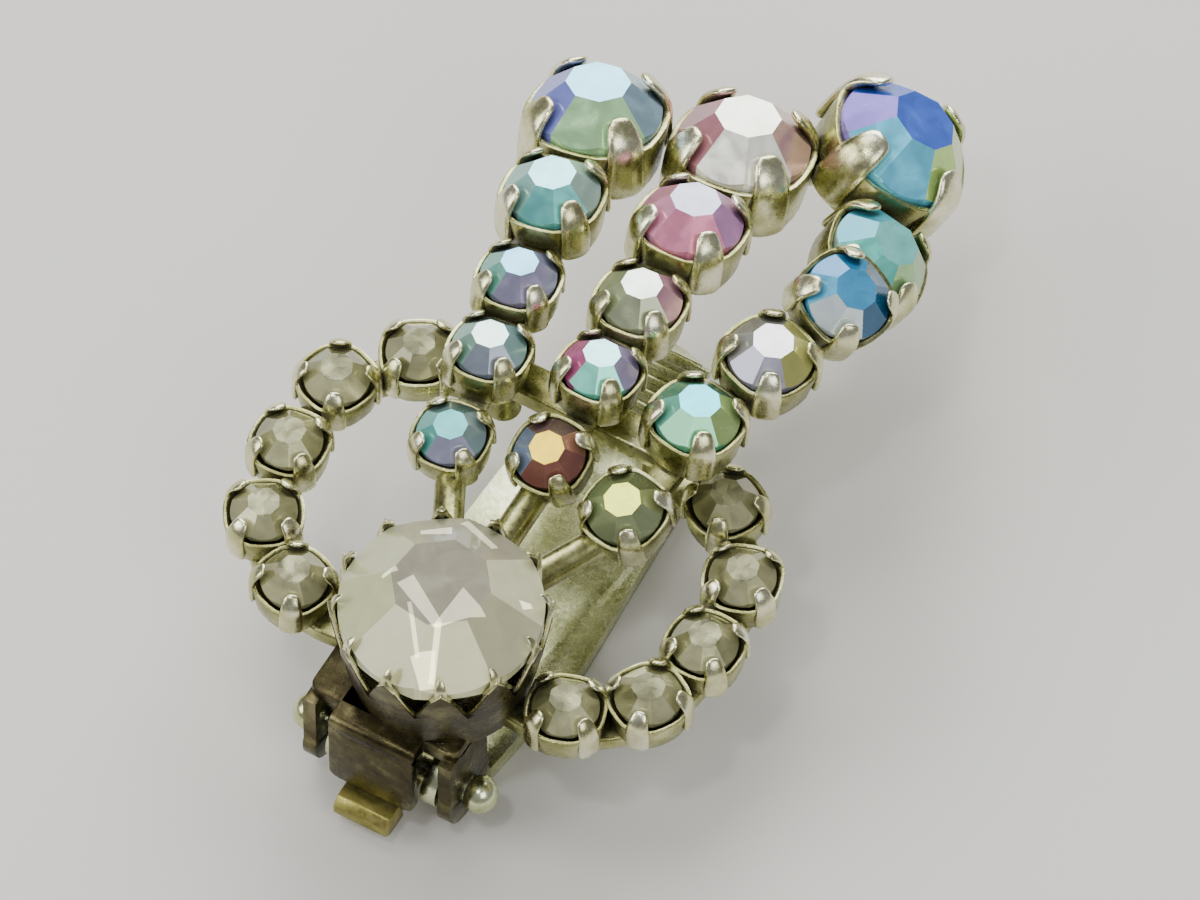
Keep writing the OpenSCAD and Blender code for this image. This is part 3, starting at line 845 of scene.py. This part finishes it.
# %% [markdown]
# A smooth strip runs under the cups of each loop, from the crown setting round to the cross bar. A small
# rectangle is spun round the first end, pulled along the straight side and spun round the other end, which is
# how a strip is bent round a former.

# %% Model the loop strips
STRIP_W, STRIP_LOW_Z, STRIP_HIGH_Z = 1.5, 5.9, 6.7
STRIP_END_X = 1.9  # how far past the loop's own middle the strip runs on towards the centre
BEND_STEPS = 28


def loop_strip(side):
    way = -1 if side == "left" else 1
    r, centre = LOOP_RADIUS[side], LOOP_CENTRES[side]
    bend = -way * math.acos(-STRIP_END_X / r)
    lower = Vector((centre.x, centre.y - LOOP_STRAIGHT / 2, (STRIP_LOW_Z + STRIP_HIGH_Z) / 2))
    upper = lower + Vector((0, LOOP_STRAIGHT, 0))
    clear_bench()
    bpy.ops.mesh.primitive_plane_add(size=1, location=(0, 0, 0), rotation=(math.radians(90), 0, 0))
    bpy.ops.object.transform_apply(location=False, rotation=True, scale=False)
    strip = bpy.context.object
    section = Matrix.Diagonal((STRIP_W, 1, STRIP_HIGH_Z - STRIP_LOW_Z, 1))
    strip.data.transform(Matrix.Translation(Vector((way * r, 0, 0))) @ section)
    strip.data.transform(Matrix.Translation(lower) @ Matrix.Rotation(bend, 4, "Z"))
    bpy.ops.object.mode_set(mode="EDIT")
    bpy.ops.mesh.select_all(action="SELECT")
    bpy.ops.mesh.spin(steps=BEND_STEPS, angle=bend, center=lower, axis=(0, 0, 1))
    pull(y=LOOP_STRAIGHT)
    bpy.ops.mesh.spin(steps=BEND_STEPS, angle=bend, center=upper, axis=(0, 0, 1))
    bpy.ops.mesh.select_all(action="SELECT")
    bpy.ops.mesh.remove_doubles(threshold=0.001)
    close_up()
    return round_over(strip, 0.18, segments=3)


for side in LOOP_CENTRES:
    blank = loop_strip(side)
    low = [round(min(v.co[k] for v in blank.data.vertices), 2) for k in range(3)]
    high = [round(max(v.co[k] for v in blank.data.vertices), 2) for k in range(3)]
    print(side, "strip from", low, "to", high)
    centre = LOOP_CENTRES[side]
    leaning = Matrix.Rotation(math.radians(LOOP_TURN[side]), 4, "Z")
    place = Matrix.Translation(centre) @ leaning @ Matrix.Translation(-centre)
    strip = set_once(blank, f"{side}_loop_strip", place)
    dress(strip, aged_plate, "setting", "aged_plate", "setting_frame")

# %% [markdown]
# Three rods lead from the crown setting to the first cup of each strand, and a short bar joins each cup to the
# next. The joints are soldered, and solder climbs a little way up each part. So a rod is pulled out of a disc
# in stretches, wide at both ends and slim between them.


# %% Model the rods and the strand bars
def under_seat(node, rise=0):
    """The middle of the foot of a stone's cup, or a point a little above it."""
    place, d = seats[node]
    return place @ Vector((0, 0, -cup_depth(d) + rise))


def between(start, end, model_length):
    """The place that lays a model which runs from the origin along +y on the line from start to end."""
    way = end - start
    lie = way.to_track_quat("Y", "Z").to_matrix().to_4x4()
    return Matrix.Translation(start) @ lie @ Matrix.Diagonal((1, way.length / model_length, 1, 1))


SOLDER_FLARE = 1.45  # how much wider the rod is where the solder climbs it
# shares of the rod's length, each with the rod's width there
ROD_PROFILE = [(0.05, 1.2), (0.1, 1.05), (0.16, 1), (0.8, 1), (0.88, 1.05), (0.94, 1.2), (1, SOLDER_FLARE)]


def soldered_rod(r, length):
    clear_bench()
    bpy.ops.mesh.primitive_circle_add(
        vertices=24, radius=SOLDER_FLARE * r, fill_type="NGON", rotation=(math.radians(90), 0, 0)
    )
    bpy.ops.object.transform_apply(location=False, rotation=True, scale=False)
    bpy.ops.object.mode_set(mode="EDIT")
    bpy.ops.mesh.select_all(action="SELECT")
    reached, wide = 0, SOLDER_FLARE
    for share, width in ROD_PROFILE:
        pull(y=(share - reached) * length, grow=(width / wide, 1, width / wide))
        reached, wide = share, width
    close_up()
    return round_over(bpy.context.object, 0.03, angle=50)


def strand_bar(width, thick, length):
    block((-width / 2, 0, -thick / 2), (width / 2, length, thick / 2))
    pick("FACE", lambda c, n: abs(n.y) > 0.9)
    bpy.ops.mesh.inset(thickness=0.12)
    put_down()
    return round_over(bpy.context.object, 0.1)


ROD_R, ROD_LENGTH, ROD_START_Z = 0.65, 5, 8.9
ROD_SKIP = 0.4  # the share of the way from the crown's middle that lies inside the crown
BAR_WIDE, BAR_THICK, BAR_LENGTH = 1.22, 0.76, 4
BAR_PAST = 0.4  # how far a bar runs on past the middles of its two cups
rod_blank = soldered_rod(ROD_R, ROD_LENGTH)
bar_blank = strand_bar(BAR_WIDE, BAR_THICK, BAR_LENGTH)
for strand, count in STRANDS.items():
    first = under_seat(f"{strand}_strand_stone_1", 0.1)
    crown_middle = SETTING_AXIS + Vector((0, 0, ROD_START_Z))
    rod_place = between(crown_middle.lerp(first, ROD_SKIP), first, ROD_LENGTH)
    rod = bench_copy(rod_blank, f"{strand}_rod", rod_place)
    dress(rod, aged_plate, "setting", "aged_plate", "setting_frame")
    for i in range(1, count):
        start = under_seat(f"{strand}_strand_stone_{i}")
        end = under_seat(f"{strand}_strand_stone_{i + 1}")
        past = (end - start).normalized() * BAR_PAST
        bar_place = between(start - past, end + past, BAR_LENGTH)
        bar = bench_copy(bar_blank, f"{strand}_strand_bar_{i}", bar_place)
        dress(bar, aged_plate, "setting", "aged_plate", "setting_frame")
take_away(rod_blank)
take_away(bar_blank)
print("rods and bars set")

# %% [markdown]
# A flat bar crosses under the strands and stands on the loops' strips by a short round post at each end.
# It is a box with its ends drawn in, and the posts flare where the solder holds them.

# %% Model the cross bar
BAR_Y, BAR_LOW_Z, BAR_HIGH_Z, BAR_W = 3.4, 8.1, 9.1, 1.6
BAR_ENDS_X, BAR_TAPER = (-4.4, 5.4), 0.3
POST_IN, POST_R, POST_FOOT_H = 1, 0.75, 0.4
POST_RISES = ((0.5, 0.86), (0.9, 1.0), (0.35, 1.16))  # how far each stretch rises and how much it widens


def cross_bar():
    left, right = BAR_ENDS_X
    block(
        (left + BAR_TAPER, BAR_Y - BAR_W / 2, BAR_LOW_Z),
        (right - BAR_TAPER, BAR_Y + BAR_W / 2, BAR_HIGH_Z),
    )
    for way in (-1, 1):
        pick("FACE", lambda c, n: n.x * way > 0.9)
        pull(x=BAR_TAPER * way, grow=(1, 0.72, 0.8))
        put_down()
    bar = round_over(bpy.context.object, 0.14, segments=3)
    posts = []
    for post_x in (LOOP_CENTRES["left"].x + POST_IN, LOOP_CENTRES["right"].x - POST_IN):
        clear_bench()
        bpy.ops.mesh.primitive_cylinder_add(
            vertices=24, radius=POST_R, depth=POST_FOOT_H, location=(post_x, BAR_Y, STRIP_LOW_Z + 0.3)
        )
        bpy.ops.object.transform_apply(location=True, rotation=False, scale=False)
        for rise, width in POST_RISES:
            top = max(v.co.z for v in bpy.context.object.data.vertices)
            pick("FACE", lambda c, n: n.z > 0.9 and c.z > top - 0.01)
            pull(z=rise, grow=(width, width, 1))
            put_down()
        posts.append(round_over(bpy.context.object, 0.05))
    return join([bar] + posts, "cross_bar_blank")


bar = set_once(cross_bar(), "cross_bar")
dress(bar, aged_plate, "setting", "aged_plate", "setting_frame")
print("cross bar faces:", len(bar.data.polygons))

# %% [markdown]
# The clip hangs from a bracket under the crown setting: a plate, a lug at each side that carries the pin, and
# a narrow plate in front. The lugs are discs cut flat at the top and pulled up to the plate, with the pin's
# hole through them.

# %% Model the bracket
HINGE_Y, HINGE_Z, PIN_R, PIN_GAP = -11.5, 2.4, 0.6, 0.05
PLATE_LOW_Z, PLATE_HIGH_Z = 5.5, 6.3
PLATE_FRONT_Y, PLATE_BACK_Y, PLATE_HALF_W = -12.6, -7.1, 3.5
LUG_R, LUG_T, LUG_IN_X = 1.6, 0.6, 2.9
FRONT_HALF_W, FRONT_T, FRONT_LOW_Z, FRONT_Y = 2.0, 0.5, 2.0, -13.55
SINK = 0.3  # how far one part of the bracket reaches into the next


def along_hinge(radius, depth, x, vertices):
    """A cylinder on the hinge's axis."""
    clear_bench()
    bpy.ops.mesh.primitive_cylinder_add(
        vertices=vertices,
        radius=radius,
        depth=depth,
        location=(x, HINGE_Y, HINGE_Z),
        rotation=(0, math.radians(90), 0),
    )
    bpy.ops.object.transform_apply(location=True, rotation=True, scale=False)
    return bpy.context.object


def round_edges(piece, test, width):
    """Rounds the edges that pass the test with a bevel of four steps."""
    take_up(piece)
    pick("EDGE", test)
    bpy.ops.mesh.bevel(offset=width, segments=4, affect="EDGES")
    put_down()


def bracket():
    plate = block((-PLATE_HALF_W, PLATE_FRONT_Y, PLATE_LOW_Z), (PLATE_HALF_W, PLATE_BACK_Y, PLATE_HIGH_Z))
    round_edges(plate, lambda c, w: abs(w.z) > 0.9, 0.5)
    round_over(plate, 0.1)
    tongue = block((-FRONT_HALF_W, FRONT_Y, PLATE_LOW_Z), (FRONT_HALF_W, PLATE_FRONT_Y + 1, PLATE_HIGH_Z))
    round_edges(tongue, lambda c, w: abs(w.x) > 0.9 and c.y < FRONT_Y + 0.1 and c.z > PLATE_HIGH_Z - 0.1, 0.4)
    round_over(tongue, 0.08)
    front = block((-FRONT_HALF_W, FRONT_Y, FRONT_LOW_Z), (FRONT_HALF_W, FRONT_Y + FRONT_T, PLATE_HIGH_Z - SINK))
    round_edges(front, lambda c, w: abs(w.y) > 0.9 and c.z < FRONT_LOW_Z + 0.1, 0.45)
    round_over(front, 0.08)
    parts = [plate, tongue, front]
    for way in (-1, 1):
        lug_x = way * (LUG_IN_X + LUG_T / 2)
        lug = along_hinge(LUG_R, LUG_T, lug_x, 48)
        upright = block(
            (lug_x - LUG_T / 2, HINGE_Y - LUG_R + 0.1, HINGE_Z),
            (lug_x + LUG_T / 2, HINGE_Y + LUG_R - 0.1, PLATE_LOW_Z + SINK),
        )
        drill = along_hinge(PIN_R + PIN_GAP, 3 * LUG_T, lug_x, 32)
        take_up(lug)
        finish_with("BOOLEAN", operation="UNION", object=upright, solver="EXACT")
        finish_with("BOOLEAN", operation="DIFFERENCE", object=drill, solver="EXACT")
        take_away(upright)
        take_away(drill)
        parts.append(round_over(lug, 0.06))
    return join(parts, "bracket_blank")


clip_bracket = set_once(bracket(), "clip_bracket")
dress(clip_bracket, crown_plate, "setting", "aged_plate", "setting_frame")
print("bracket faces:", len(clip_bracket.data.polygons))

# %% [markdown]
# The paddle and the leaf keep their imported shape. Stamped parts have soft edges from the press, so each is
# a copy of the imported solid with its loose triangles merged, its flats made whole again and its edges rounded.


# %% Soften the stamped parts
def softened(node, name, width):
    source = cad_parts[node]
    copy = own_copy(source)
    copy.name = copy.data.name = name
    copy.parent = None
    copy.hide_render = copy.hide_viewport = False
    copy.data.transform(Matrix.Scale(1 / MM, 4) @ source.matrix_world)
    copy.matrix_world = Matrix.Identity(4)
    for key in list(copy.keys()):
        del copy[key]
    take_up(copy)
    bpy.ops.object.mode_set(mode="EDIT")
    bpy.ops.mesh.select_all(action="SELECT")
    bpy.ops.mesh.remove_doubles(threshold=0.002)
    bpy.ops.mesh.dissolve_limited(angle_limit=math.radians(1))
    put_down()
    round_over(copy, width)
    copy.data.transform(Matrix.Scale(MM, 4))
    return copy


paddle = softened("clip_paddle", "stamped_paddle", 0.1)
dress(paddle, clip_metal, "paddle", "clip_metal", "clip_paddle")
leaf = softened("clip_spring", "brass_leaf", 0.06)
dress(leaf, leaf_brass, "setting", "leaf_brass", "clip_spring")
print("paddle faces:", len(paddle.data.polygons), "leaf faces:", len(leaf.data.polygons))

# %% [markdown]
# The pin is a round wire with both ends hammered to a dome. The dome is a sphere flattened a little along the
# pin, which shows as a bright bead at each side of the clip.

# %% Model the hinge pin
HEAD_R, HEAD_X = 0.82, 4.05
HEAD_FLAT = 0.92  # how much the hammer has flattened a head


def hinge_pin():
    parts = [round_over(along_hinge(PIN_R, 2 * HEAD_X, 0, 32), 0.03)]
    for way in (-1, 1):
        middle = (way * HEAD_X, HINGE_Y, HINGE_Z)
        clear_bench()
        bpy.ops.mesh.primitive_uv_sphere_add(
            segments=32, ring_count=16, radius=HEAD_R, location=middle, rotation=(0, math.radians(90), 0)
        )
        bpy.ops.object.transform_apply(location=True, rotation=True, scale=False)
        bpy.ops.object.mode_set(mode="EDIT")
        bpy.ops.mesh.select_all(action="SELECT")
        bpy.ops.transform.resize(value=(HEAD_FLAT, 1, 1), center_override=middle)
        put_down()
        bpy.ops.object.shade_smooth()
        parts.append(bpy.context.object)
    return join(parts, "pin_blank")


pin = set_once(hinge_pin(), "domed_pin")
dress(pin, clip_metal, "setting", "clip_metal", "hinge_pin")
print("pin faces:", len(pin.data.polygons))

# %% [markdown]
# The earring lies on its closed clip on a plain pale floor. The camera looks from the photograph's angle, and
# the frame is closer than the photograph's, because only one earring is built. The key light stands where
# the stones' tables mirror it, which is what makes them flash in the photograph.

# %% Floor, camera and lights
clear_bench()
bpy.ops.mesh.primitive_plane_add(size=2, location=(0, 0, 0))
floor = bpy.context.object
floor.name = "floor"
floor_paint, tree = new_material("floor_paint")
finish_material(tree, Base_Color=tuple(linear("d6d4cd")), Roughness=0.75)
floor.data.materials.append(floor_paint)
floor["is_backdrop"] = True


def towards_view(azimuth, elevation):
    a, e = math.radians(azimuth), math.radians(elevation)
    return Vector((math.sin(a) * math.cos(e), -math.cos(a) * math.cos(e), math.sin(e)))


# a long lens far away, because near parts aren't widened in the photograph, set down a little to centre the piece
CAMERA_LENS, CAMERA_AWAY, CAMERA_DOWN = 500, 0.69, 0.0018
low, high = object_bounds()
middle = (low + high) / 2
camera = bpy.data.objects.new("camera", bpy.data.cameras.new("camera"))
bpy.context.collection.objects.link(camera)
camera.data.lens = CAMERA_LENS
back = towards_view(VIEW_AZIMUTH, VIEW_ELEVATION)
picture_up = towards_view(VIEW_AZIMUTH, VIEW_ELEVATION + 90)
camera.location = middle + back * CAMERA_AWAY - picture_up * CAMERA_DOWN
camera.rotation_mode = "QUATERNION"
camera.rotation_quaternion = (-back).to_track_quat("-Z", "Y")
camera.data.clip_start, camera.data.clip_end = 0.005, 10
bpy.context.scene.camera = camera


def soft_light(name, azimuth, elevation, distance, size, power):
    lamp = bpy.data.objects.new(name, bpy.data.lights.new(name, "AREA"))
    bpy.context.collection.objects.link(lamp)
    lamp.data.shape = "RECTANGLE"
    lamp.data.size, lamp.data.size_y = size
    lamp.data.energy = power
    way = towards_view(azimuth, elevation)
    lamp.location = middle + way * distance
    lamp.rotation_mode = "QUATERNION"
    lamp.rotation_quaternion = (-way).to_track_quat("-Z", "Y")


# azimuth and elevation in degrees, distance and size in metres, power in watts
soft_light("key_light", 200, 33, 0.5, (0.44, 0.4), 3.8)
soft_light("overhead_light", 248, 71, 0.5, (0.22, 0.22), 0.7)
soft_light("side_light", VIEW_AZIMUTH - 80, 35, 0.5, (0.3, 0.3), 1.4)
soft_light("front_light", VIEW_AZIMUTH + 30, 45, 0.6, (0.3, 0.3), 1.0)
soft_light("glint_light", VIEW_AZIMUTH - 35, 68, 0.5, (0.04, 0.04), 0.35)
world = bpy.data.worlds.new("studio")
bpy.context.scene.world = world
world.use_nodes = True
world.node_tree.nodes["Background"].inputs[0].default_value = linear("e4e6ea")
world.node_tree.nodes["Background"].inputs[1].default_value = 0.3
print("camera at", [round(c, 4) for c in camera.location])
